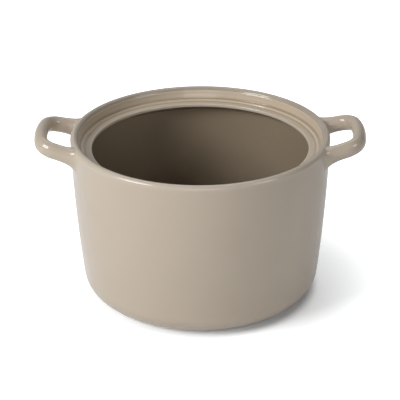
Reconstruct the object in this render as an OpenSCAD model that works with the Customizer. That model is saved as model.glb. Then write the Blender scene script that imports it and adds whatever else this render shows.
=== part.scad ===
// A glazed stoneware stew pot: a slip-cast bowl with a rounded rim, a ring luted inside the rim
// as the ledge for a lid, and two loop handles luted to the outside with slip.
// Millimetres, +Z up. The origin is the middle of the foot, on the table, and the handles lie on
// +X and -X.

/* [Body] */
// Outside diameter of the wall just under its rounded rim
rim_d = 219.6; // [190:0.2:280]
// Height from the table to the top of the rim
pot_h = 142.5; // [110:0.5:200]
// Outside diameter that the wall would have at the table without its rounded bottom corner
base_d = 199.7; // [170:0.1:215]
// How far the wall bows out past a straight line from the table to the rim
wall_bow = 1.75; // [0.8:0.05:4]
// Thickness of the wall, which the rounded rim takes too
wall_t = 6.6; // [5:0.1:8]
// Outside radius of the bottom corner
corner_r = 20.7; // [14:0.1:30]
// Inside radius of the bottom corner
inner_corner_r = 15; // [8:0.5:24]
// Thickness of the floor
floor_t = 7; // [5:0.5:12]

/* [Foot] */
// Width of the flat ring that the pot stands on
foot_w = 7.5; // [4:0.5:14]
// Depth of the hollow inside the foot ring
foot_recess = 2.5; // [1:0.5:5]
// Radius of the corner between the hollow's wall and the underside of the floor
foot_fillet_r = 2; // [0.5:0.1:4]

/* [Lid ledge] */
// Depth of the lid's seat below the top of the rim
seat_drop = 11.3; // [9:0.1:14]
// Lean of the rim's inner face, in from the wall's own face
face_lean = 12.8; // [10:0.1:18]
// Width of the small step between the rim's inner face and the seat
step_w = 2.2; // [1.6:0.1:3]
// Height of that step above the seat
step_h = 1.5; // [1.1:0.1:2.5]
// How far the step's riser leans back
step_lean = 1; // [0.3:0.1:1.5]
// Radius of the step's rounded upper edge
step_edge_r = 0.7; // [0.3:0.1:1]
// Radius of the hollow corners at the foot of the step and behind it
step_fillet_r = 0.9; // [0.3:0.1:1.2]
// Width of the seat, from the foot of the step to the opening through the ledge
seat_w = 6.5; // [4:0.1:20]
// Thickness of the ledge at its inner edge
nose_t = 2.6; // [2:0.1:5]
// Radius of the rounding above that edge
nose_r = 1.1; // [0.5:0.1:1.6]
// Radius of the rounding below that edge
nose_low_r = 0.6; // [0.3:0.1:0.9]
// Slope of the ledge's underside, down towards the wall
under_slope = 32; // [10:1:45]
// Depth of the ledge ring's upper edge below the top of the rim
ring_top_drop = 6.5; // [6.3:0.1:7.5]
// Thickness of the slip between the ledge ring and the wall
ledge_slip_t = 0.5; // [0.2:0.1:0.8]

/* [Handles] */
// Distance between the middles of a handle's two roots, across the pot
root_span = 63.6; // [56:0.2:80]
// Depth of the middle of a root below the top of the rim
root_drop = 8.7; // [8.5:0.1:14]
// Distance between the two arms' centre lines where they meet the outer bar's line
bar_span = 53.1; // [44:0.1:58]
// Distance from the rim's outside to the outer bar's centre line
handle_reach = 24.5; // [21:0.1:34]
// Height of the outer bar's centre line above the middle of the roots
handle_rise = 7.9; // [2:0.1:16]
// Height of the handle's oval section
grip_h = 13.8; // [10:0.1:14]
// Width of the handle's oval section
grip_w = 11; // [8:0.1:14]
// Radius of the loop's outer corners, on the centre line
bend_r = 14.8; // [12:0.1:17]
// Radius that the outer bar bows out with, seen square to the loop
bar_r = 98; // [60:1:300]
// Length of arm that flows out into the wall at each root
root_flow = 15; // [8:0.5:16]
// How far a root spreads sideways over the wall
root_side = 4.5; // [3:0.5:8]
// How far a root spreads up, over the rim
root_up = 3.4; // [1:0.1:3.5]
// How far a root spreads down the wall
root_down = 8.5; // [4:0.5:14]
// Thickness of the slip between a root and the wall
root_slip_t = 0.6; // [0.3:0.1:1]

/* [Hidden] */

// Colours of the satin glaze, of the ledge in its own shade, and of the bare slip
glaze_colour = [0.70, 0.65, 0.58];
ledge_colour = [0.66, 0.61, 0.53];
slip_colour = [0.55, 0.47, 0.38];

// Segments for the preview of round shapes; the wall's arc is very long, so it has more
$fn = 180;
arc_segments = 1440;
// Sides of the handle's oval, steps from wall to arm, round a bend and along half the bar, and
// rings across a root
oval_sides = 24;
flow_steps = 8;
bend_steps = 8;
root_rings = 6;
bar_steps = 3;
// Overrun for cuts
over = 1;
// Least straight arm between a root's flow and the bend
least_arm = 0.5;
// Degrees in a radian
rad = 180 / PI;

// The rim's round top
crest_r = wall_t / 2;
crest_z = pot_h - crest_r;

// The wall's arc in section: its chord runs from the table to the height of the rim's centre
chord = [(rim_d - base_d) / 2, crest_z];
chord_l = norm(chord);
arc_r = chord_l * chord_l / (8 * wall_bow) + wall_bow / 2;
arc_c = [(rim_d + base_d) / 4 - (arc_r - wall_bow) * chord[1] / chord_l,
    chord[1] / 2 + (arc_r - wall_bow) * chord[0] / chord_l];
crest_c = [arc_x(arc_r - crest_r, crest_z), crest_z];
crest_a = atan2(crest_c[1] - arc_c[1], crest_c[0] - arc_c[0]);
// The line across the wall at the foot of that round top: a point outside the wall, the wall's
// two faces, and the pot's axis
crest_line = [polar(crest_c, wall_t, crest_a), polar(crest_c, crest_r, crest_a),
    polar(crest_c, -crest_r, crest_a), crest_c - crest_c[0] * [1, tan(crest_a)]];

// Heights and radii of the foot and floor
floor_z = foot_recess + floor_t;
foot_out = arc_x(arc_r - corner_r, corner_r);
foot_in = foot_out - foot_w;

// The lid ledge: the lean of the rim's face from upright, the seat, the step round it, and the
// ring's upper edge
face_a = face_lean - crest_a;
seat_z = pot_h - seat_drop;
step_z = seat_z + step_h;
step_out = face_x(step_z) - step_w;
seat_out = step_out - step_lean;
opening_r = seat_out - seat_w;
ring_top = pot_h - ring_top_drop;
ring_r = arc_r - wall_t - ledge_slip_t;
nose_low = seat_z - nose_t;
// Radius at which the ledge's underside meets the slip
back_x = arc_x(ring_r, slope_z(arc_x(ring_r, nose_low)));

// The handles: a root's middle on the wall, and the plane that the loop lies in
root_z = pot_h - root_drop;
root_a = asin((root_z - arc_c[1]) / arc_r);
root_s = (root_a - crest_a) / rad * arc_r;
root_phi = asin(root_span / 2 / arc_x(arc_r, root_z));
root_c = on_wall(root_phi, root_s, 0);
bar_c = [rim_d / 2 + handle_reach, bar_span / 2, root_z + handle_rise];
run = [bar_c[0] - root_c[0], 0, bar_c[2] - root_c[2]];
run_l = norm(run);
along = run / run_l;
across = [0, 1, 0];
upward = [-along[2], 0, along[0]];
// Angle that the arms draw together by, in the loop's plane and seen from above
arm_a = atan2(root_c[1] - bar_c[1], run_l);
arm_plan_a = atan2(root_c[1] - bar_c[1], run[0]);
bend_turn = 90 - arm_a;
// The bar's arc has its centre on the pot's X axis, and each bend's circle touches it and an arm:
// bar_turn is the angle at which the bend meets the bar
bar_u = run_l - bar_r;
bar_turn = asin((root_c[1] * cos(arm_a) - bend_r - bar_u * sin(arm_a)) / (bar_r - bend_r)) - arm_a;
bend_c = [bar_u + (bar_r - bend_r) * cos(bar_turn), (bar_r - bend_r) * sin(bar_turn)];
// The root's flow stops short of the bend
flow_l = min(root_flow,
    (bend_c[0] + bend_r * cos(bend_turn)) / cos(arm_a) - least_arm);
// Half sizes of the arm's section as it is laid on the sloping, curving wall
print_w = grip_w / 2 / cos(root_phi + arm_plan_a);
print_h = grip_h / 2 * run_l / run[0];
oval = [for (i = [0:oval_sides - 1]) 360 * i / oval_sides];

// Radius from the axis, at height z, of the wall's arc with radius r
function arc_x(r, z) = arc_c[0] + sqrt(r * r - pow(z - arc_c[1], 2));

// Point at angle a and distance r from a centre, in section
function polar(c, r, a) = c + r * [cos(a), sin(a)];

// Rim face: a line tangent to the rim's round top, leaning in as it goes down
function face_x(z) = crest_c[0] - crest_r * cos(face_a)
    - (crest_c[1] + crest_r * sin(face_a) - z) * tan(face_a);

// Point on the wall's outside in section: s runs up the wall's arc and, from 0, over the rim,
// and d stands off square to the surface
function skin(s, d) = s > 0
    ? polar(crest_c, crest_r + d, crest_a + s / crest_r * rad)
    : polar(arc_c, arc_r + d, crest_a + s / arc_r * rad);

// The same point turned to the angle phi about the pot's axis
function on_wall(phi, s, d) = let (p = skin(s, d)) [p[0] * cos(phi), p[0] * sin(phi), p[1]];

// Height of the ledge's underside
function slope_z(x) = nose_low - (x - opening_r) * tan(under_slope);

// Point of a root's outline, at angle a round it and share f of its size. grow is 0 for the arm's
// own section and 1 for the full spread of the root
function root_point(a, f, grow, d) = on_wall(
    root_phi + f * cos(a) * (print_w + grow * root_side) / (rim_d / 2) * rad,
    root_s + f * sin(a) * (print_h + grow * (sin(a) > 0 ? root_up : root_down)), d);

// Ring of points across a root, on the wall or standing off it by d
function root_ring(f, d) = [for (a = oval) root_point(a, f, 1, d)];

// Point of the loop's plane
function in_plane(u, v) = root_c + u * along + (v - root_c[1]) * across;

// Oval ring of points about a centre, whose outward direction is at angle t in the loop's plane
function grip_ring(c, t) = [for (a = oval) c
    + cos(a) * grip_w / 2 * (cos(t) * along + sin(t) * across)
    + sin(a) * grip_h / 2 * upward];

// Rings from the wall to the middle of the outer bar. Each line of the root is a quadratic curve
// that leaves the arm straight and meets the wall flat
arm_end = in_plane(flow_l * cos(arm_a), root_c[1] - flow_l * sin(arm_a));
arm_ring = grip_ring(arm_end, bend_turn);
function flow_ring(t) = [for (i = [0:oval_sides - 1])
    pow(1 - t, 2) * arm_ring[i]
    + 2 * t * (1 - t) * root_point(oval[i], 1, 0, root_slip_t)
    + t * t * root_point(oval[i], 1, 1, root_slip_t)];
function arc_ring(c, r, t) = let (p = polar(c, r, t)) grip_ring(in_plane(p[0], p[1]), t);
half_loop = concat(
    [for (i = [1:root_rings - 1]) root_ring(i / root_rings, root_slip_t)],
    [for (i = [0:flow_steps]) flow_ring(1 - i / flow_steps)],
    [for (i = [0:bend_steps])
        arc_ring(bend_c, bend_r, bend_turn + (bar_turn - bend_turn) * i / bend_steps)],
    [for (i = [1:bar_steps]) arc_ring([bar_u, 0], bar_r, bar_turn * (1 - i / bar_steps))]);

// The same rings on the other side of the pot's X axis, in the opposite order
function other_side(rings) = [for (i = [len(rings) - 1:-1:0])
    [for (p = rings[i]) [p[0], -p[1], p[2]]]];

// Closed skin over a row of rings, drawn to a point at each end
module skin_over(first, rings, last) {
    n = len(rings[0]);
    count = len(rings);
    points = concat([first], [for (ring = rings) each ring], [last]);
    end = len(points) - 1;
    polyhedron(points, concat(
        [for (i = [0:n - 1]) [0, 1 + i, 1 + (i + 1) % n]],
        [for (k = [0:count - 2], i = [0:n - 1]) let (a = 1 + k * n, j = (i + 1) % n)
            each [[a + i, a + n + i, a + j], [a + j, a + n + i, a + n + j]]],
        [for (i = [0:n - 1]) let (a = 1 + (count - 1) * n) [end, a + (i + 1) % n, a + i]]
    ));
}

// Section inside the wall's arc of radius r, above a floor at z, with its bottom corner rounded.
// Its top is the line across the wall, raised by lift
module tub_section(r, corner, z, lift) {
    centre = [arc_x(r - corner, z + corner), z + corner];
    corner_a = atan2(centre[1] - arc_c[1], centre[0] - arc_c[0]);
    intersection() {
        translate(arc_c) circle(r, $fn = arc_segments);
        polygon(concat([[0, z], [centre[0], z], centre, polar(centre, corner + over, corner_a)],
            [for (p = crest_line) p + [0, lift]]));
    }
    wedge(centre, corner, centre + over * [-1, 1], [centre[0], z], polar(centre, corner, corner_a));
}

// Part of a circle between two lines, from a root through the ends a and b of an arc. The root
// lies well inside what the wedge joins, so that they overlap
module wedge(centre, r, root, a, b) intersection() {
    translate(centre) circle(r);
    polygon([root, a + 2 * (a - root), b + 2 * (b - root)]);
}

// Part of a circle beyond its chord from a to b, on the side that away points to
module segment(centre, r, a, b, away) {
    u = unit(b - a);
    intersection() {
        translate(centre) circle(r);
        polygon([a, b, b + 2 * r * (away + u), a + 2 * r * (away - u)]);
    }
}

// Outline with each corner rounded by its own radius. corners go anticlockwise, as [x, y, radius]
module rounded(corners) {
    n = len(corners);
    rounds = [for (i = [0:n - 1]) let (
        v = xy(corners[i]),
        r = corners[i][2],
        u = unit(xy(corners[(i + n - 1) % n]) - v),
        w = unit(xy(corners[(i + 1) % n]) - v),
        half = acos(u * w) / 2,
        outward = w[0] * u[1] - w[1] * u[0] > 0)
        [v + u * r / tan(half), v + w * r / tan(half), v + unit(u + w) * r / sin(half), r, outward,
            -unit(u + w)]];
    difference() {
        union() {
            polygon([for (c = rounds) each c[3] > 0 ? [c[0], c[1]] : [c[0]]]);
            for (c = rounds) if (c[3] > 0 && c[4]) segment(c[2], c[3], c[0], c[1], c[5]);
        }
        for (c = rounds) if (c[3] > 0 && !c[4]) segment(c[2], c[3], c[0], c[1], c[5]);
    }
}

function xy(p) = [p[0], p[1]];
function unit(v) = v / norm(v);

module pot_body() color(glaze_colour) rotate_extrude() {
    difference() {
        tub_section(arc_r, corner_r, 0, 0);
        tub_section(arc_r - wall_t, inner_corner_r, floor_z, wall_t);
        rounded([[0, -over, 0], [foot_in, -over, 0], [foot_in, foot_recess, foot_fillet_r],
            [0, foot_recess, 0]]);
    }
    // The rim's round top
    wedge(crest_c, crest_r, crest_c + crest_r * [sin(crest_a), -cos(crest_a)],
        crest_line[1], crest_line[2]);
}

module lid_ledge_ring() color(ledge_colour) rotate_extrude()
    rounded([[opening_r, nose_low, nose_low_r], [back_x, slope_z(back_x), 0],
        [arc_x(ring_r, ring_top), ring_top, 0], [face_x(ring_top), ring_top, 0],
        [face_x(step_z), step_z, step_fillet_r], [step_out, step_z, step_edge_r],
        [seat_out, seat_z, step_fillet_r], [opening_r, seat_z, nose_r]]);

module ledge_slip() color(slip_colour) rotate_extrude() difference() {
    intersection() {
        translate(arc_c) circle(arc_r - wall_t, $fn = arc_segments);
        polygon([[opening_r, nose_low], [rim_d / 2, slope_z(rim_d / 2)], [rim_d / 2, ring_top],
            [opening_r, ring_top]]);
    }
    translate(arc_c) circle(ring_r, $fn = arc_segments);
}

module handle_right() color(glaze_colour) skin_over(
    root_point(0, 0, 1, root_slip_t),
    concat(half_loop, other_side([for (i = [0:len(half_loop) - 2]) half_loop[i]])),
    other_side([[root_point(0, 0, 1, root_slip_t)]])[0][0]);

module handle_left() mirror([1, 0, 0]) handle_right();

// The slip under one root: the root's own outline, on the wall and root_slip_t off it
module root_slip() color(slip_colour) skin_over(
    root_point(0, 0, 1, root_slip_t),
    concat([for (i = [1:root_rings]) root_ring(i / root_rings, root_slip_t)],
        [for (i = [root_rings:-1:1]) root_ring(i / root_rings, 0)]),
    root_point(0, 0, 1, 0));

module handle_right_slip() {
    root_slip();
    mirror([0, 1, 0]) root_slip();
}

module handle_left_slip() mirror([1, 0, 0]) handle_right_slip();

pot_body();
lid_ledge_ring();
ledge_slip();
handle_left();
handle_right();
handle_left_slip();
handle_right_slip();
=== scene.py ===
"""Dresses the stew pot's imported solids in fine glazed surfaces, and sets a soft studio round it.

Everything is in metres, in the pot's own frame: +Z up, the foot's middle at the origin and the
handles on +X and -X.
"""

import bpy
import numpy as np
from bpy.props import FloatProperty, FloatVectorProperty, IntProperty, PointerProperty
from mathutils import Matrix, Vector


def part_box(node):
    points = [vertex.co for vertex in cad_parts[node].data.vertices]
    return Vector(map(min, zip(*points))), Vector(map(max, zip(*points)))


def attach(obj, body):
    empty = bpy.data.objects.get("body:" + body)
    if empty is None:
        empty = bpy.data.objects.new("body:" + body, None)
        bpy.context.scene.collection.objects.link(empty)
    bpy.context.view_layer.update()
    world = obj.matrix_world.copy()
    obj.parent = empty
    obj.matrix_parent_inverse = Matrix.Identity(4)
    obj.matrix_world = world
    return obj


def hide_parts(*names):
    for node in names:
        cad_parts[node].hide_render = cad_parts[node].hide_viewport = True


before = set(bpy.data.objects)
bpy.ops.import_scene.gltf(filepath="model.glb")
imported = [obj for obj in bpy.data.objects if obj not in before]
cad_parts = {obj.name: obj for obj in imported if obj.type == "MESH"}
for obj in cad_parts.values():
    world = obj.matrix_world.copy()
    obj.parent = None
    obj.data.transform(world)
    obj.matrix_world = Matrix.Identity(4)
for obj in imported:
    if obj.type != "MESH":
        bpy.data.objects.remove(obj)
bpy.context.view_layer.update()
POT_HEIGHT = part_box("pot_body")[1].z
ROOT_BODY = "root"

bl_info = {
    "name": "Stew Pot",
    "version": (1, 0, 0),
    "blender": (4, 5, 0),
    "location": "3D View > Sidebar > Stew Pot",
    "description": "Builds a glazed stoneware stew pot with a lid ledge and two loop handles",
    "category": "Mesh",
}


def length(name, description, default):
    """A property that holds a length in metres."""
    return FloatProperty(name=name, description=description, default=default, min=0, precision=5,
                         unit="LENGTH")


def angle(name, description, degrees):
    """A property that holds an angle, given here in degrees."""
    return FloatProperty(name=name, description=description, default=np.radians(degrees),
                         unit="ROTATION")


def share(name, description, default):
    """A property that holds a number from 0 to 1."""
    return FloatProperty(name=name, description=description, default=default, min=0, max=1,
                         subtype="FACTOR")


def colour(name, description, default):
    """A property that holds a linear colour."""
    return FloatVectorProperty(name=name, description=description, default=default, min=0, max=1,
                               size=3, subtype="COLOR")


def watts(name, description, default):
    """A property that holds a lamp's power."""
    return FloatProperty(name=name, description=description + ", in watts", default=default, min=0)


def place(name, description, default):
    """A property that holds a point in metres."""
    return FloatVectorProperty(name=name, description=description, default=default, size=3,
                               subtype="XYZ", unit="LENGTH", precision=4)


class BodySizes(bpy.types.PropertyGroup):
    """Sizes of the bowl-shaped body."""

    height: length("Height", "From the table to the top of the rim", POT_HEIGHT)
    rim_radius: length("Rim radius", "Outside radius just under the rounded rim", 0.1098)
    base_radius: length("Base radius", "Outside radius at the table, before the corner", 0.09985)
    wall_bow: length("Wall bow", "How far the wall bows out past a straight line", 0.00175)
    wall: length("Wall", "Thickness of the wall and of the rounded rim", 0.0066)
    corner: length("Bottom corner", "Outside radius of the bottom corner", 0.0207)
    inner_corner: length("Inner corner", "Inside radius of the bottom corner", 0.015)
    floor: length("Floor", "Thickness of the floor", 0.007)
    foot_width: length("Foot width", "Width of the flat ring that the pot stands on", 0.0075)
    foot_recess: length("Foot recess", "Depth of the hollow inside the foot ring", 0.0025)
    foot_fillet: length("Foot fillet", "Radius of the hollow's corner", 0.002)
    foot_edge: length("Foot edge", "Radius of the foot ring's inner edge", 0.0006)
    segments: IntProperty(name="Segments", description="Faces round the pot", default=384, min=48,
                          max=512)


class LedgeSizes(bpy.types.PropertyGroup):
    """Sizes of the ring inside the rim that a lid sits on, and of the slip behind it."""

    seat_drop: length("Seat drop", "Depth of the seat below the rim's top", 0.0113)
    face_lean: angle("Face lean", "Lean of the rim's inner face from upright", 14)
    step: length("Step width", "Width of the step between the rim's face and the seat", 0.0022)
    step_height: length("Step height", "Height of the step above the seat", 0.0015)
    step_lean: length("Step lean", "How far the step's riser leans back", 0.001)
    step_edge: length("Step edge", "Radius of the step's upper edge", 0.0007)
    step_fillet: length("Step fillet", "Radius of the hollow corners beside the step", 0.0009)
    seat: length("Seat width", "Width from the step's foot to the opening", 0.0065)
    nose: length("Nose thickness", "Thickness of the ledge at its inner edge", 0.0026)
    nose_top: length("Nose rounding", "Radius above the inner edge", 0.0011)
    nose_low: length("Lower nose rounding", "Radius below the inner edge", 0.0006)
    under_slope: angle("Under slope", "Slope of the ledge's underside", 32)
    slip: length("Slip", "Thickness of the slip behind the ring", 0.0005)
    slip_drop: length("Slip drop", "Depth of the slip's top below the rim's top", 0.0055)


class HandleSizes(bpy.types.PropertyGroup):
    """Sizes of the two loop handles."""

    root_span: length("Root span", "Distance between the middles of the two roots", 0.0636)
    root_drop: length("Root drop", "Depth of a root's middle below the rim's top", 0.0087)
    bar_span: length("Bar span", "Distance between the arms at the outer bar", 0.0531)
    reach: length("Reach", "Distance from the rim to the outer bar's centre line", 0.0245)
    rise: length("Rise", "Height of the outer bar above the roots' middle", 0.0079)
    grip_height: length("Grip height", "Height of the oval section", 0.0138)
    grip_width: length("Grip width", "Width of the oval section", 0.011)
    bend: length("Bend radius", "Radius of the loop's outer corners", 0.0148)
    bar: length("Bar radius", "Radius that the outer bar bows out with", 0.098)
    flow: length("Root flow", "Length of arm that flows out into the wall", 0.015)
    root_side: length("Root side", "How far a root spreads sideways", 0.0045)
    root_up: length("Root up", "How far a root spreads up over the rim", 0.0034)
    root_down: length("Root down", "How far a root spreads down the wall", 0.0085)
    slip: length("Slip", "Thickness of the slip under a root", 0.0006)
    sides: IntProperty(name="Sides", description="Faces round the handle's section", default=72,
                       min=16)


class GlazeLook(bpy.types.PropertyGroup):
    """Colours and gloss of the glaze, the bare clay and the slip."""

    body: colour("Body glaze", "Taupe glaze on the outside, rim and handles", (0.478, 0.400, 0.316))
    # The ledge colour is the body glaze made paler: painted light on the ledge and the rim's face.
    ledge: colour("Ledge glaze", "Paler glaze on the ledge and rim's face", (0.567, 0.472, 0.359))
    # The inside colour is the body glaze made darker: painted shade over the inside of the bowl.
    inside: colour("Inside glaze", "Deeper glaze inside, below the ledge", (0.254, 0.202, 0.143))
    # This colour darkens hollows: partly glaze that gathers there, partly painted shade.
    pooled_and_shade: colour("Pooled glaze", "Deeper glaze where it gathers in hollows", (0.35, 0.27, 0.18))
    # This colour pales edges: partly thin glaze there, partly a painted highlight.
    thin: colour("Thin glaze", "Paler glaze where it runs thin over edges", (0.55, 0.485, 0.40))
    clay: colour("Bare clay", "Stoneware where the foot is wiped clean", (0.42, 0.31, 0.215))
    slip: colour("Slip", "Fired slip in the joints", (0.30, 0.22, 0.15))
    # This share darkens hollows with gathered glaze and painted shade together.
    pooling_and_shade: share("Pooling", "How strongly the glaze deepens in hollows", 0.95)
    # This share pales edges with thin glaze and a painted highlight together.
    thinning_and_highlight: share("Thinning", "How strongly the glaze pales over edges", 0.85)
    specks: share("Specks", "How strongly the clay's specks show through", 0.35)
    roughness: share("Roughness", "Roughness of the satin glaze", 0.5)
    body_gloss: share("Body gloss", "Strength of the gloss under the glassy top layer", 0.1)
    coat: share("Coat", "Strength of the glaze's glassy top layer", 0.8)
    coat_roughness: share("Coat roughness", "Roughness of that top layer", 0.11)


class StudioLook(bpy.types.PropertyGroup):
    """Camera, lamps and floor.

    A lift is white that the floor adds where it is seen, and it lights nothing. Less lift near the
    pot and on the shadow's side is a painted shadow on the floor.
    """

    eye: place("Eye", "Where the camera stands", (0.0, -1.1889, 0.6483))
    target: place("Target", "Point that the camera looks at", (-0.0004, 0.0, 0.0790))
    roll: angle("Roll", "Turn of the camera about its line of sight", -0.27)
    lens: FloatProperty(name="Lens", description="Focal length in millimetres", default=137.5)
    floor: colour("Floor", "Colour of the pale floor", (0.83, 0.86, 0.885))
    # The lifts and radii from here to far_ring paint a shadow on the floor round the pot.
    foot_lift: share("Foot lift", "Lift under the pot's bottom corner", 0.0)
    near_lift: share("Near lift", "Lift beside the pot", 0.39)
    far_lift: share("Far lift", "Lift further away", 1.0)
    gloss_lift: share("Lift in gloss", "Share of the lift that the glaze mirrors", 0.28)
    foot_shade: length("Foot lift radius", "Radius within which the foot lift holds", 0.0932)
    near_ring: length("Near lift radius", "Radius from which the near lift holds", 0.1055)
    cast_middle: place("Cast middle", "Middle of the cast shadow's rings", (0.033, 0.005, 0.0))
    cast_ring: length("Cast radius", "Radius round that middle where the far lift sets in", 0.068)
    far_ring: length("Far radius", "Radius round that middle where the far lift is full", 0.1655)
    left: watts("Left softbox", "Power of the main softbox, at the left and in front", 25.6)
    front: watts("Front softbox", "Power of the low softbox in front", 7.4)
    high: watts("High softbox", "Power of the high softbox behind", 6.6)
    right: watts("Right fill", "Power of the small fill at the right and in front", 2.6)
    right_low: watts("Right low fill", "Power of the low fill at the right", 3.3)
    back: watts("Back fill", "Power of the low fill behind", 9.0)
    glint: watts("Right glint", "Power of the lamp at the right that only the glaze mirrors", 7.0)
    left_size: length("Left softbox size", "Side of the main softbox", 0.8)
    right_size: length("Right fill size", "Side of the small fill at the right", 0.32)
    glint_size: length("Right glint size", "Side of the lamp that only the glaze mirrors", 0.6)
    lamp_size: length("Lamp size", "Side of each other softbox and fill", 1.0)
    lamp_distance: length("Lamp distance", "From the pot's middle to each lamp", 1.8)
    world: share("World", "Strength of the light from all round", 0.0)
    world_gloss: share("World in gloss", "Share of the world's white that the glaze mirrors", 0.5)


class StewPot(bpy.types.PropertyGroup):
    """Everything that can be changed on the pot and its studio."""

    body: PointerProperty(type=BodySizes)
    ledge: PointerProperty(type=LedgeSizes)
    handles: PointerProperty(type=HandleSizes)
    glaze: PointerProperty(type=GlazeLook)
    studio: PointerProperty(type=StudioLook)


def polar(centre, radius, turn):
    """Points on a circle: the centre plus the radius times the cosine and sine of each angle."""
    turn = np.asarray(turn, float)
    return np.stack([centre[0] + radius * np.cos(turn), centre[1] + radius * np.sin(turn)], -1)


def arc(centre, radius, start, end, steps):
    """Evenly spaced points of a circle's arc, from one angle to another."""
    return polar(centre, radius, np.linspace(start, end, steps + 1))


def line(start, end, steps):
    """Evenly spaced points from one end of a straight line to the other."""
    t = np.linspace(0, 1, steps + 1)[:, None]
    return (1 - t) * np.asarray(start, float) + t * np.asarray(end, float)


def unit(v):
    """The vector, or each row of vectors, divided by its own length."""
    v = np.asarray(v, float)
    return v / np.linalg.norm(v, axis=-1, keepdims=True)


def joined(stretches):
    """One outline from stretches that meet end to end, each shared point kept once."""
    touching = 1e-8
    points = np.concatenate(stretches)
    keep = np.ones(len(points), bool)
    keep[1:] = np.linalg.norm(np.diff(points, axis=0), axis=1) > touching
    return points[keep]


def rounded(corners, steps):
    """Outline through the corners, with each one that has a radius turned into an arc.

    The arc touches both sides: it starts and ends the radius over the tangent of half the corner's
    angle away, and its centre lies on the bisector, the radius over the sine of that half away.
    """
    points = [corners[0][:2]]
    for before, here, after in zip(corners, corners[1:], corners[2:]):
        v, r = np.array(here[:2]), here[2]
        u, w = unit(np.array(before[:2]) - v), unit(np.array(after[:2]) - v)
        half = np.arccos(np.clip(u @ w, -1, 1)) / 2
        centre = v + unit(u + w) * r / np.sin(half)
        start, end = v + u * r / np.tan(half) - centre, v + w * r / np.tan(half) - centre
        a = np.arctan2(start[1], start[0])
        turn = (np.arctan2(end[1], end[0]) - a + np.pi) % (2 * np.pi) - np.pi
        points.extend(arc(centre, r, a, a + turn, steps))
    points.append(corners[-1][:2])
    return np.array(points)


class Wall:
    """The wall in section: a long arc from the table to the rim, then the half circle of the rim.

    The long arc's radius is the chord squared over 8 times the bow, plus half the bow.
    """

    def __init__(self, body):
        self.thick = body.wall
        self.crest_radius = body.wall / 2
        chord = np.array([body.rim_radius - body.base_radius, body.height - self.crest_radius])
        span = np.hypot(*chord)
        self.radius = span ** 2 / (8 * body.wall_bow) + body.wall_bow / 2
        to_centre = (self.radius - body.wall_bow) / span
        self.centre = np.array([(body.rim_radius + body.base_radius) / 2 - to_centre * chord[1],
                                chord[1] / 2 + to_centre * chord[0]])
        self.crest = np.array([self.x(self.crest_radius, chord[1]), chord[1]])
        self.start = self.angle(self.crest)
        self.rim_radius = body.rim_radius

    def x(self, depth, z):
        """Radius from the pot's axis, at a height, of the arc that lies this deep in the wall."""
        return self.centre[0] + np.sqrt((self.radius - depth) ** 2 - (z - self.centre[1]) ** 2)

    def angle(self, point):
        """Angle of a point seen from the long arc's centre."""
        return np.arctan2(point[1] - self.centre[1], point[0] - self.centre[0])

    def stretch(self, depth, start, end, steps):
        """Part of the arc that lies this deep in the wall, between two of its angles."""
        return arc(self.centre, self.radius - depth, start, end, steps)

    def skin(self, s, d):
        """Point in section: s up the long arc and, from 0, over the rim, and d out of the skin."""
        over = s > 0
        turn = self.start + s / np.where(over, self.crest_radius, self.radius)
        radius = np.where(over, self.crest_radius, self.radius) + d
        centre_x = np.where(over, self.crest[0], self.centre[0])
        centre_z = np.where(over, self.crest[1], self.centre[1])
        return centre_x + radius * np.cos(turn), centre_z + radius * np.sin(turn)

    def around(self, phi, s, d):
        """The same point turned about the pot's axis by phi: x = r cos phi, y = r sin phi."""
        r, z = self.skin(s, d)
        return np.stack([r * np.cos(phi), r * np.sin(phi), z], -1)

    def face_x(self, z, lean):
        """Radius of the rim's inner face, the line at this lean that touches the rim's circle."""
        touch_z = self.crest[1] + self.crest_radius * np.sin(lean)
        return self.crest[0] - self.crest_radius * np.cos(lean) - (touch_z - z) * np.tan(lean)


def body_outline(body, wall):
    """Outline of the body from the middle of its underside, out, over the rim and in to the middle.

    It is the foot's hollow and ring, the bottom corner's arc, the wall's long arc, the rim's half
    circle, the same wall offset inwards, the inner corner's arc and the floor. The last number of
    each stretch is how many steps it has.
    """
    corner = np.array([wall.x(body.corner, body.corner), body.corner])
    floor_z = body.foot_recess + body.floor
    inner_z = floor_z + body.inner_corner
    inner = np.array([wall.x(wall.thick + body.inner_corner, inner_z), inner_z])
    foot_in = corner[0] - body.foot_width
    foot = rounded([(0, body.foot_recess, 0), (foot_in, body.foot_recess, body.foot_fillet),
                    (foot_in, 0, body.foot_edge), (corner[0], 0, 0)], 8)
    return joined([
        line(foot[0], foot[1], 14), foot[1:-1], line(foot[-2], foot[-1], 6),
        arc(corner, body.corner, -np.pi / 2, wall.angle(corner), 28),
        wall.stretch(0, wall.angle(corner), wall.start, 44),
        arc(wall.crest, wall.crest_radius, wall.start, wall.start + np.pi, 32),
        wall.stretch(wall.thick, wall.start, wall.angle(inner), 40),
        arc(inner, body.inner_corner, wall.angle(inner), -np.pi / 2, 18),
        line((inner[0], floor_z), (0, floor_z), 20),
    ])


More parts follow.
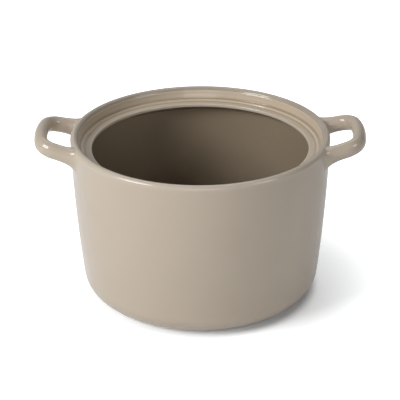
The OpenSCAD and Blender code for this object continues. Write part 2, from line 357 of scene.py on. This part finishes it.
def ledge_outline(ledge, body, wall):
    """Closed outline of the ledge ring: back, rim face, step, seat, rounded nose and underside.

    It starts where the rim's inner face touches the rim's circle, and goes round anticlockwise.
    """
    seat_z = body.height - ledge.seat_drop
    step_z = seat_z + ledge.step_height
    low_z = seat_z - ledge.nose
    touch_z = wall.crest[1] + wall.crest_radius * np.sin(ledge.face_lean)
    step_out = wall.face_x(step_z, ledge.face_lean) - ledge.step
    seat_out = step_out - ledge.step_lean
    opening = seat_out - ledge.seat
    depth = wall.thick + ledge.slip
    slope = np.tan(ledge.under_slope)
    back_x = wall.x(depth, low_z - (wall.x(depth, low_z) - opening) * slope)
    back_z = low_z - (back_x - opening) * slope
    front = rounded([
        (wall.face_x(touch_z, ledge.face_lean), touch_z, 0),
        (wall.face_x(step_z, ledge.face_lean), step_z, ledge.step_fillet),
        (step_out, step_z, ledge.step_edge),
        (seat_out, seat_z, ledge.step_fillet),
        (opening, seat_z, ledge.nose_top),
        (opening, low_z, ledge.nose_low),
        (back_x, back_z, 0),
    ], 10)
    # The nearest point to where the flat seat turns down into the nose.
    seat = np.argmin(np.abs(front[:, 0] - (opening + ledge.nose_top)))
    back = line((back_x, back_z), (wall.x(depth, wall.crest[1]), wall.crest[1]), 8)
    return joined([line(front[0], front[1], 12), front[1:seat],
                   line(front[seat - 1], front[seat], 10), front[seat:], back])


def ledge_slip_outline(ledge, body, wall):
    """Closed outline of the slip: up the wall's inner face, and down along the ring's back."""
    heights = (body.height - ledge.seat_drop - ledge.nose, body.height - ledge.slip_drop)
    low, high = (wall.angle((wall.x(0, z), z)) for z in heights)
    return np.concatenate([wall.stretch(wall.thick, low, high, 10),
                           wall.stretch(wall.thick + ledge.slip, high, low, 10)])


def hollowness(points):
    """How hollow an outline is at each point, from -1 on a sharp edge to 1 in a sharp hollow.

    It is the outline's turn, spread along its length as a bell curve, and squeezed by a hyperbolic
    tangent. An outline goes round its clay anticlockwise, so a turn to the right is hollow.
    """
    # The bell's width in metres of outline, and a sharp bend in radians of turn a metre.
    blur = 0.0008
    sharp_bend = 400
    step = np.diff(points, axis=0)
    heading = np.unwrap(np.arctan2(step[:, 1], step[:, 0]))
    turn = np.concatenate([[0], -np.diff(heading), [0]])
    at = np.concatenate([[0], np.cumsum(np.linalg.norm(step, axis=1))])
    bell = np.exp(-((at[:, None] - at) / blur) ** 2 / 2) / (blur * np.sqrt(2 * np.pi))
    return np.tanh(bell @ turn / sharp_bend)


def revolve(outline, segments):
    """Rings of points: each outline point goes round the axis, x = r cos a, y = r sin a, z = z."""
    a = np.linspace(0, 2 * np.pi, segments, endpoint=False)
    r, z = outline[:, :1], outline[:, 1:]
    return np.stack([r * np.cos(a), r * np.sin(a), z + 0 * a], -1)


def skin_faces(rings, around, closed, first, last):
    """Quads between neighbouring rings of points, and fans to the end points, if any."""
    k = np.arange(rings if closed else rings - 1)[:, None]
    i = np.arange(around)[None, :]
    j = (i + 1) % around
    here, above = k * around, (k + 1) % rings * around
    faces = np.stack([here + i, here + j, above + j, above + i], -1).reshape(-1, 4).tolist()
    ring = np.arange(around)
    if first is not None:
        faces += np.stack([np.full(around, first), np.roll(ring, -1), ring], -1).tolist()
    if last is not None:
        top = (rings - 1) * around + ring
        faces += np.stack([np.full(around, last), top, np.roll(top, -1)], -1).tolist()
    return faces


def signed_volume(points, faces):
    """Volume by the divergence theorem: a sixth of the sum of a . (b x c) over each face's fan."""
    total = 0.0
    for count in {len(f) for f in faces}:
        f = np.array([f for f in faces if len(f) == count])
        for n in range(1, count - 1):
            b_by_c = np.cross(points[f[:, n]], points[f[:, n + 1]])
            total += np.einsum("ij,ij->", points[f[:, 0]], b_by_c)
    return total / 6


def linked(thing):
    """The object, linked to the scene."""
    bpy.context.scene.collection.objects.link(thing)
    return thing


def make_piece(name, rings, ends=(None, None), closed=False, creased=(), **marks):
    """A smooth mesh object from rings of points, its faces turned outwards.

    ends are single points that close the first and last ring. creased rings keep a sharp edge.
    Each mark is one value a ring, kept as an attribute of that name. An end has its ring's value.
    """
    count, around = rings.shape[:2]
    points = [rings.reshape(-1, 3)]
    indices = [None, None]
    for n, end in enumerate(ends):
        if end is not None:
            indices[n] = sum(len(p) for p in points)
            points.append(np.reshape(end, (1, 3)))
    points = np.concatenate(points)
    faces = skin_faces(count, around, closed, *indices)
    if signed_volume(points, faces) < 0:
        faces = [f[::-1] for f in faces]
    mesh = bpy.data.meshes.new(name)
    mesh.from_pydata(points.tolist(), [], faces)
    mesh.shade_smooth()
    for mark, of_ring in marks.items():
        of_ends = [of_ring[n] for n, index in zip((0, -1), indices) if index is not None]
        values = np.concatenate([np.repeat(of_ring, around), of_ends]).astype(np.float32)
        mesh.attributes.new(mark, "FLOAT", "POINT").data.foreach_set("value", values)
    if creased:
        edge_ends = np.zeros(len(mesh.edges) * 2, np.int32)
        mesh.edges.foreach_get("vertices", edge_ends)
        ring_of = edge_ends.reshape(-1, 2) // around
        sharp = (ring_of[:, 0] == ring_of[:, 1]) & np.isin(ring_of[:, 0], creased)
        mesh.attributes.new("sharp_edge", "BOOLEAN", "EDGE").data.foreach_set("value", sharp)
    mesh.update()
    return linked(bpy.data.objects.new(name, mesh))


class HandleShape:
    """The right handle's loop: two arms that leave the wall, draw together and turn into a bar.

    The loop lies in a plane that tilts up as it goes out. Its centre line is a straight arm, the
    bend's arc and half of the bar's wider arc, mirrored in the pot's XZ plane. The bar's centre is
    on the loop's own axis, and the bend's circle touches both the arm and the bar's circle.
    """

    # Each ring that closes a root inside the wall: its share of the root's size, and its depth.
    hidden = ((0.5, 0.0012), (0.95, 0.0008))
    other_side = np.array([1, -1, 1])

    def __init__(self, sizes, body, wall):
        self.sizes = sizes
        self.wall = wall
        root_z = body.height - sizes.root_drop
        root_turn = np.arcsin((root_z - wall.centre[1]) / wall.radius)
        self.root_s = (root_turn - wall.start) * wall.radius
        self.root_phi = np.arcsin(sizes.root_span / 2 / wall.x(0, root_z))
        self.root = wall.around(self.root_phi, self.root_s, 0.0)
        bar = np.array([body.rim_radius + sizes.reach, sizes.bar_span / 2, root_z + sizes.rise])
        run = np.array([bar[0] - self.root[0], 0, bar[2] - self.root[2]])
        self.run = np.linalg.norm(run)
        self.along = run / self.run
        self.across = np.array([0.0, 1.0, 0.0])
        self.upward = np.array([-self.along[2], 0, self.along[0]])
        draw_in = self.root[1] - bar[1]
        self.arm = np.arctan2(draw_in, self.run)
        self.turn = np.pi / 2 - self.arm
        self.bar_centre = np.array([self.run - sizes.bar, 0.0])
        apart = sizes.bar - sizes.bend
        aside = self.root[1] * np.cos(self.arm) - sizes.bend
        aside -= self.bar_centre[0] * np.sin(self.arm)
        self.bar_turn = np.arcsin(aside / apart) - self.arm
        self.bend_centre = polar(self.bar_centre, apart, self.bar_turn)
        # The arm meets the wall at a slant, so its print is wider and higher than its section.
        plan = np.arctan2(draw_in, run[0])
        self.print_width = sizes.grip_width / 2 / np.cos(self.root_phi + plan)
        self.print_height = sizes.grip_height / 2 * self.run / run[0]
        self.oval = np.linspace(0, 2 * np.pi, sizes.sides, endpoint=False)

    def print_ring(self, size, grow, d=0.0):
        """Ring on the wall, in the wall's own coordinates: an oval, this share of its size.

        grow is 0 for the arm's own section and 1 for the full spread of the root. d is how far the
        ring stands out from the wall.
        """
        side, up = np.cos(self.oval), np.sin(self.oval)
        spread = np.where(up > 0, self.sizes.root_up, self.sizes.root_down)
        width = self.print_width + grow * self.sizes.root_side
        phi = self.root_phi + size * side * width / self.wall.rim_radius
        s = self.root_s + size * up * (self.print_height + grow * spread)
        return self.wall.around(phi, s, d)

    def grip_ring(self, centre, turn):
        """Oval round a point of the loop's plane: its width lies in the plane, at this angle."""
        point = self.root + centre[0] * self.along + (centre[1] - self.root[1]) * self.across
        outward = np.cos(turn) * self.along + np.sin(turn) * self.across
        side = np.cos(self.oval)[:, None] * self.sizes.grip_width / 2
        up = np.sin(self.oval)[:, None] * self.sizes.grip_height / 2
        return point + side * outward + up * self.upward

    def arc_rings(self, centre, radius, start, end, steps):
        """Ovals along an arc of the centre line, each square to it."""
        turns = np.linspace(start, end, steps + 1)
        return [self.grip_ring(polar(centre, radius, a), a) for a in turns]

    def rings(self):
        """Rings from one root, round the loop, to the other.

        Each line of a root is a quadratic curve from the arm, aimed along it at the wall, to the
        root's outline, where it lies flat on the wall.
        """
        flow = self.sizes.flow
        start = (flow * np.cos(self.arm), self.root[1] - flow * np.sin(self.arm))
        arm_ring = self.grip_ring(start, self.turn)
        aim, foot = self.print_ring(1, 0), self.print_ring(1, 1)
        t = np.linspace(1, 0, 31)[:, None, None]
        root = (1 - t) ** 2 * arm_ring + 2 * t * (1 - t) * aim + t ** 2 * foot
        bend = self.arc_rings(self.bend_centre, self.sizes.bend, self.turn, self.bar_turn, 26)
        bar = self.arc_rings(self.bar_centre, self.sizes.bar, self.bar_turn, 0, 10)[1:]
        hidden = [self.print_ring(size, 1, -depth) for size, depth in self.hidden]
        half = np.stack([*hidden, *root, *bend, *bar])
        return np.concatenate([half, half[:-1][::-1] * self.other_side])

    def ends(self):
        """The two points, deep in the wall, that close the first and the last ring."""
        middle = self.print_ring(0, 1, -self.hidden[0][1])[0]
        return np.stack([middle, middle * self.other_side])

    def slip_pad(self):
        """Rings of the slip under a root, out over its top and back along the wall, and its ends.

        The pad is a little thinner and smaller than its solid, so that the root's glaze covers it.
        """
        height = self.sizes.slip * 0.8
        sizes = np.linspace(0.1, 0.7, 8)
        top = [self.print_ring(size, 1, height) for size in sizes]
        low = [self.print_ring(size, 1) for size in sizes[::-1]]
        return np.stack(top + low), np.stack([self.print_ring(0, 1, d)[0] for d in (height, 0.0)])


def settings():
    """The scene's stew pot settings."""
    return bpy.context.scene.stew_pot


def dress(piece, slot, material, *nodes):
    """Gives a piece its material, and lets it stand for its CAD nodes on the pot's one body."""
    piece.data.materials.append(material)
    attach(piece, ROOT_BODY)
    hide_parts(*nodes)


class Shade:
    """One value in a material's nodes. Python's arithmetic on it adds Math nodes."""

    def __init__(self, tree, socket=None):
        self.tree = tree
        self.socket = socket

    def add(self, kind, options=None, inputs=None, output=0):
        """Adds a node of a type, with its options set first and then its sockets set or linked."""
        node = self.tree.nodes.new(kind)
        for name, value in (options or {}).items():
            setattr(node, name, value)
        for name, value in (inputs or {}).items():
            if isinstance(value, Shade):
                self.tree.links.new(value.socket, node.inputs[name])
            else:
                node.inputs[name].default_value = value
        return Shade(self.tree, node.outputs[output])

    def maths(self, operation, *values, clamp=False):
        """A Math node on two values."""
        options = {"operation": operation, "use_clamp": clamp}
        return self.add("ShaderNodeMath", options, dict(enumerate(values)))

    def __add__(self, other):
        return self.maths("ADD", self, other)

    __radd__ = __add__

    def __sub__(self, other):
        return self.maths("SUBTRACT", self, other)

    def __rsub__(self, other):
        return self.maths("SUBTRACT", other, self)

    def __mul__(self, other):
        return self.maths("MULTIPLY", self, other)

    __rmul__ = __mul__

    def clamped(self):
        """The value held between 0 and 1."""
        return self.maths("ADD", self, 0.0, clamp=True)

    def between(self, low, high):
        """0 at the low value and below, 1 at the high one and above, smooth between."""
        return self.add("ShaderNodeMapRange", {"interpolation_type": "SMOOTHSTEP"},
                        {"Value": self, "From Min": low, "From Max": high})

    def mixed(self, first, second):
        """A colour between two, with this value as the share of the second."""
        ends = [c if isinstance(c, Shade) else (*c, 1.0) for c in (first, second)]
        return self.add("ShaderNodeMix", {"data_type": "RGBA"},
                        {0: self, 6: ends[0], 7: ends[1]}, 2)

    def farther(self, middle, low, high):
        """For a place: 0 within the low distance of a middle, 1 past the high one, smooth between.

        The distance is the length of the place less the middle.
        """
        away = self.add("ShaderNodeVectorMath", {"operation": "DISTANCE"},
                        {0: self, 1: tuple(middle)}, "Value")
        return away.between(low, high)


def new_material(name):
    """A material with only its output, and a Shade on its nodes."""
    material = bpy.data.materials.new(name)
    material.use_nodes = True
    material.node_tree.nodes.clear()
    return material, Shade(material.node_tree)


def finish_material(shade, shader, kind="ShaderNodeOutputMaterial"):
    """Links a shader to a new output."""
    output = shade.tree.nodes.new(kind)
    shade.tree.links.new(shader.socket, output.inputs["Surface"])


def here(shade):
    """The place on the piece, in its own coordinates."""
    return shade.add("ShaderNodeTexCoord", output="Object")


def marked(shade, name):
    """A mark that make_piece left on the piece, or 0 where it has none."""
    return shade.add("ShaderNodeAttribute", {"attribute_name": name}, output="Fac")


def cloud(shade, width, detail, rough=0.5):
    """Soft noise over the piece, from 0 to 1, whose blotches are about this many metres across."""
    return shade.add("ShaderNodeTexNoise", None, {
        "Vector": here(shade), "Scale": 1 / width, "Detail": detail, "Roughness": rough})


def relief(shade, height, strength, depth):
    """A Bump node's normal, for a height whose 1 stands for this depth in metres."""
    return shade.add("ShaderNodeBump", None, {
        "Height": height, "Strength": strength, "Distance": depth})


def toned(tint, factor):
    """A colour made darker or lighter by a factor."""
    return tuple(factor * c for c in tint)


# Widths in metres of the patterns in the glaze, the clay, the slip and the floor.
DRIFT_WIDTH = 0.11
MOTTLE_WIDTH = 0.030
FLOOR_GRAIN_WIDTH = 0.02
RIPPLE_WIDTH = 0.012
SPECK_PATCH_WIDTH = 0.008
WIPE_WIDTH = 0.006
FINE_WIDTH = 0.0035
PIT_WIDTH = 0.0016
SLIP_GRAIN_WIDTH = 0.0012
SPECK_WIDTH = 0.0011
CLAY_GRAIN_WIDTH = 0.0009

# Heights between which the foot's bare clay gives way to glaze, and how far that line wanders.
GLAZE_LINE = (0.0011, 0.0017)
GLAZE_LINE_SWING = 0.0008

# Depths in metres of the fine relief on the glaze and on the slip.
GLAZE_RELIEF = 0.00012
SLIP_RELIEF = 0.0002


def glaze_material(name, look, base, wiped_foot=False):
    """Satin taupe glaze: mottled, darker in hollows, paler over edges, with faint specks.

    The hollows are darker with gathered glaze and painted shade, the edges paler with thin glaze
    and a painted highlight. With wiped_foot the clay shows bare below the glaze line at the foot.
    """
    material, shade = new_material(name)
    hollow, inside = marked(shade, "hollow"), marked(shade, "inside")
    mottle = cloud(shade, MOTTLE_WIDTH, 4, 0.55)
    fine = cloud(shade, FINE_WIDTH, 2)
    drift = cloud(shade, DRIFT_WIDTH, 2)
    # Blotches and drifts swing about a half. Only the palest blotches thin the glaze off an edge.
    # The first sum darkens hollows with gathered glaze and painted shade.
    pooling_and_shade = hollow * look.pooling_and_shade + (mottle - 0.5) * 0.35 + (drift - 0.5) * 0.25
    # The second pales edges with thin glaze and a painted highlight.
    thinning_and_highlight = (0 - hollow) * look.thinning_and_highlight + (mottle - 0.62) * 0.5
    # The inside colour paints shade over the inside of the bowl.
    tone = pooling_and_shade.clamped().mixed(inside.mixed(base, look.inside), look.pooled_and_shade)
    tone = thinning_and_highlight.clamped().mixed(tone, look.thin)
    # Specks are the peaks of a fine noise, in the patches where a broader one is high.
    specks = cloud(shade, SPECK_WIDTH, 1).between(0.70, 0.78)
    specks = specks * cloud(shade, SPECK_PATCH_WIDTH, 1).between(0.5, 0.7)
    tone = (specks * look.specks).mixed(tone, look.clay)
    rough = look.roughness + (fine - 0.5) * 0.10 + (mottle - 0.5) * 0.12
    coat = look.coat * (0.75 + 0.5 * drift)
    height = cloud(shade, PIT_WIDTH, 2) * 0.6 + cloud(shade, RIPPLE_WIDTH, 1)
    if wiped_foot:
        up = shade.add("ShaderNodeSeparateXYZ", None, {"Vector": here(shade)}, "Z")
        swing = (cloud(shade, WIPE_WIDTH, 2) - 0.5) * GLAZE_LINE_SWING
        glazed = (up + swing).between(*GLAZE_LINE)
        tone = glazed.mixed(fine.mixed(look.clay, toned(look.clay, 0.8)), tone)
        clay_rough = 0.9
        rough = clay_rough + glazed * (rough - clay_rough)
        coat = coat * glazed
        height = height + (1 - glazed) * cloud(shade, CLAY_GRAIN_WIDTH, 3) * 2.0
    shader = shade.add("ShaderNodeBsdfPrincipled", None, {
        "Base Color": tone, "Roughness": rough, "Specular IOR Level": look.body_gloss,
        "Coat Weight": coat, "Coat Roughness": look.coat_roughness,
        "Normal": relief(shade, height, 0.25, GLAZE_RELIEF)})
    finish_material(shade, shader)
    return material


def slip_material(look):
    """Fired joining slip: matt, grainy and a little uneven in colour."""
    material, shade = new_material("fired_slip")
    grain = cloud(shade, SLIP_GRAIN_WIDTH, 3)
    shader = shade.add("ShaderNodeBsdfPrincipled", None, {
        "Base Color": grain.mixed(look.slip, toned(look.slip, 1.25)),
        "Roughness": 0.85 + 0.1 * grain, "Normal": relief(shade, grain, 0.5, SLIP_RELIEF)})
    finish_material(shade, shader)
    return material


def seen_directly(shade, in_gloss):
    """1 for camera and see-through rays, in_gloss for mirror rays, 0 for rays that light things."""
    kinds = ("Is Camera Ray", "Is Glossy Ray", "Is Transmission Ray")
    camera, glossy, clear = (shade.add("ShaderNodeLightPath", output=k) for k in kinds)
    return shade.maths("MAXIMUM", shade.maths("MAXIMUM", camera, glossy * in_gloss), clear)


class StewPotBody(bpy.types.Operator):
    """Throws the body: wall, rounded rim, floor and foot ring, glazed all over but the foot"""

    bl_idname = "stew_pot.body"
    bl_label = "Body"

    def execute(self, context):
        pot = settings()
        outline = body_outline(pot.body, Wall(pot.body))
        # Past the rim's top the inside mark takes the inside colour, which paints the bowl's shade.
        past_crest = np.arange(len(outline)) > np.argmax(outline[:, 1])
        piece = make_piece("pot_body_glazed", revolve(outline[1:-1], pot.body.segments),
                           [(0, 0, outline[0][1]), (0, 0, outline[-1][1])],
                           hollow=hollowness(outline)[1:-1], inside=past_crest[1:-1])
        material = glaze_material("body_glaze", pot.glaze, pot.glaze.body, wiped_foot=True)
        dress(piece, "body_glaze", material, "pot_body")
        return {"FINISHED"}


class StewPotLedge(bpy.types.Operator):
    """Adds the ledge ring inside the rim that a lid sits on"""

    bl_idname = "stew_pot.ledge"
    bl_label = "Lid ledge"

    def execute(self, context):
        pot = settings()
        outline = ledge_outline(pot.ledge, pot.body, Wall(pot.body))
        piece = make_piece("lid_ledge_ring_glazed", revolve(outline, pot.body.segments),
                           closed=True, hollow=hollowness(outline), creased=(0,))
        # The ledge's paler base colour paints light onto the ledge and the rim's face.
        material = glaze_material("ledge_glaze", pot.glaze, pot.glaze.ledge)
        dress(piece, "ledge_glaze", material, "lid_ledge_ring")
        return {"FINISHED"}


class StewPotHandles(bpy.types.Operator):
    """Pulls the two loop handles and flows their roots into the wall"""

    bl_idname = "stew_pot.handles"
    bl_label = "Handles"

    def execute(self, context):
        pot = settings()
        material = glaze_material("handle_glaze", pot.glaze, pot.glaze.body)
        shape = HandleShape(pot.handles, pot.body, Wall(pot.body))
        rings, ends = shape.rings(), shape.ends()
        # The wall hides the rings up to a root's outline, which keeps a sharp edge.
        creased = (len(shape.hidden), len(rings) - 1 - len(shape.hidden))
        for node, side in (("handle_right", 1), ("handle_left", -1)):
            flip = (side, 1, 1)
            piece = make_piece(node + "_glazed", rings * flip, ends * flip, creased=creased)
            dress(piece, "handle_glaze", material, node)
        return {"FINISHED"}


class StewPotSlip(bpy.types.Operator):
    """Lays the slip that joins the ledge ring and the handles' roots to the wall"""

    bl_idname = "stew_pot.slip"
    bl_label = "Slip joints"

    def execute(self, context):
        pot = settings()
        wall = Wall(pot.body)
        material = slip_material(pot.glaze)
        outline = ledge_slip_outline(pot.ledge, pot.body, wall)
        ring = make_piece("ledge_slip_layer", revolve(outline, pot.body.segments), closed=True)
        dress(ring, "slip", material, "ledge_slip")
        rings, ends = HandleShape(pot.handles, pot.body, wall).slip_pad()
        for node, side in (("handle_right_slip", 1), ("handle_left_slip", -1)):
            flips = ((side, 1, 1), (side, -1, 1))
            pads = [make_piece(node, rings * flip, ends * flip) for flip in flips]
            with context.temp_override(active_object=pads[0], selected_editable_objects=pads):
                bpy.ops.object.join()
            pads[0].name = node + "_pads"
            dress(pads[0], "slip", material, node)
        return {"FINISHED"}


class StewPotStudio(bpy.types.Operator):
    """Sets the pale floor, the soft lamps and the camera"""

    bl_idname = "stew_pot.studio"
    bl_label = "Studio"

    def execute(self, context):
        studio = settings().studio
        self.add_floor(studio)
        # The glaze doesn't mirror a fill. A glint is only mirrored, and lights nothing else.
        for side, kind, power, size, azimuth, elevation in (
                ("left", "softbox", studio.left, studio.left_size, 210, 31),
                ("front", "softbox", studio.front, studio.lamp_size, 270, 15),
                ("high", "softbox", studio.high, studio.lamp_size, 90, 60),
                ("right", "fill", studio.right, studio.right_size, 332, 29),
                ("right_low", "fill", studio.right_low, studio.lamp_size, 335, 7),
                ("back", "fill", studio.back, studio.lamp_size, 90, 14),
                ("right", "glint", studio.glint, studio.glint_size, 327, 28)):
            towards = np.radians((azimuth, elevation))
            lamp = self.add_lamp(side + "_" + kind, power, size, *towards, studio.lamp_distance)
            lamp.visible_glossy = kind != "fill"
            lamp.visible_diffuse = kind != "glint"
        self.add_world(context.scene, studio)
        self.add_camera(context.scene, studio)
        context.scene.view_settings.view_transform = "Standard"
        return {"FINISHED"}

    def add_floor(self, studio):
        """A wide level floor, whose own light lifts it to white only where it is seen directly.

        The lift grows smoothly from the pot's bottom corner to beside it, and then round a middle
        on the cast shadow's side until it is white, so that the shadow fades as it leaves the pot.
        The low lift near the pot is a painted shadow, darker than the lamps' own shadow there.
        """
        half = 6.0
        mesh = bpy.data.meshes.new("floor")
        corners = [(-half, -half, 0), (half, -half, 0), (half, half, 0), (-half, half, 0)]
        mesh.from_pydata(corners, [], [(0, 1, 2, 3)])
        material, shade = new_material("floor")
        # Painted shadow: less lift under the pot's corner and round the cast shadow's middle.
        beside = here(shade).farther((0, 0, 0), studio.foot_shade, studio.near_ring)
        beyond = here(shade).farther(studio.cast_middle, studio.cast_ring, studio.far_ring)
        lift = (studio.foot_lift + beside * (studio.near_lift - studio.foot_lift)
                + beyond * (studio.far_lift - studio.near_lift))
        grain = cloud(shade, FLOOR_GRAIN_WIDTH, 2)
        shader = shade.add("ShaderNodeBsdfPrincipled", None, {
            "Base Color": grain.mixed(studio.floor, toned(studio.floor, 0.99)),
            "Roughness": 0.9, "Specular IOR Level": 0.0, "Emission Color": (1.0, 1.0, 1.0, 1.0),
            "Emission Strength": lift * seen_directly(shade, studio.gloss_lift)})
        finish_material(shade, shader)
        mesh.materials.append(material)
        floor = linked(bpy.data.objects.new("floor", mesh))

    def add_lamp(self, name, power, size, azimuth, elevation, distance):
        """A square soft lamp that points at the pot's middle, from this direction and distance."""
        lamp = bpy.data.lights.new(name, "AREA")
        lamp.size = size
        lamp.energy = power
        holder = linked(bpy.data.objects.new(name, lamp))
        flat = np.cos(elevation)
        away = Vector((np.cos(azimuth) * flat, np.sin(azimuth) * flat, np.sin(elevation)))
        holder.location = Vector((0, 0, POT_HEIGHT / 2)) + away * distance
        holder.rotation_euler = away.to_track_quat("Z", "Y").to_euler()
        return holder

    def add_world(self, scene, studio):
        """Plain light from all round, and plain white where the world is seen directly."""
        scene.world = bpy.data.worlds.new("studio")
        scene.world.use_nodes = True
        scene.world.node_tree.nodes.clear()
        shade = Shade(scene.world.node_tree)
        seen = seen_directly(shade, studio.world_gloss)
        light = shade.add("ShaderNodeBackground", None, {
            "Color": (1.0, 1.0, 1.0, 1.0), "Strength": studio.world + seen * (1 - studio.world)})
        finish_material(shade, light, "ShaderNodeOutputWorld")

    def add_camera(self, scene, studio):
        """A long lens from the front, a little above, turned slightly about its line of sight."""
        camera = linked(bpy.data.objects.new("camera", bpy.data.cameras.new("camera")))
        camera.data.lens = studio.lens
        camera.location = studio.eye
        aim = (Vector(studio.target) - Vector(studio.eye)).to_track_quat("-Z", "Y")
        camera.rotation_euler = aim.to_euler()
        camera.rotation_euler.rotate_axis("Z", studio.roll)
        scene.camera = camera


class StewPotPanel(bpy.types.Panel):
    """Lists the pot's operators and sizes in the sidebar."""

    bl_idname = "VIEW3D_PT_stew_pot"
    bl_label = "Stew pot"
    bl_space_type = "VIEW_3D"
    bl_region_type = "UI"
    bl_category = "Stew Pot"

    def draw(self, context):
        for operator in OPERATORS:
            self.layout.operator(operator.bl_idname)
        pot = context.scene.stew_pot
        for group in (pot.body, pot.ledge, pot.handles, pot.glaze, pot.studio):
            box = self.layout.box()
            for name in group.__annotations__:
                box.prop(group, name)


GROUPS = (BodySizes, LedgeSizes, HandleSizes, GlazeLook, StudioLook, StewPot)
OPERATORS = (StewPotBody, StewPotLedge, StewPotHandles, StewPotSlip, StewPotStudio)


def register():
    """Registers the settings, operators and panel."""
    for cls in (*GROUPS, *OPERATORS, StewPotPanel):
        bpy.utils.register_class(cls)
    bpy.types.Scene.stew_pot = PointerProperty(type=StewPot)


def unregister():
    """Takes them away again."""
    del bpy.types.Scene.stew_pot
    for cls in reversed((*GROUPS, *OPERATORS, StewPotPanel)):
        bpy.utils.unregister_class(cls)


def main():
    """Registers the add-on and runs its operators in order."""
    register()
    bpy.ops.stew_pot.body()
    bpy.ops.stew_pot.ledge()
    bpy.ops.stew_pot.handles()
    bpy.ops.stew_pot.slip()
    bpy.ops.stew_pot.studio()


if __name__ == "__main__":
    main()
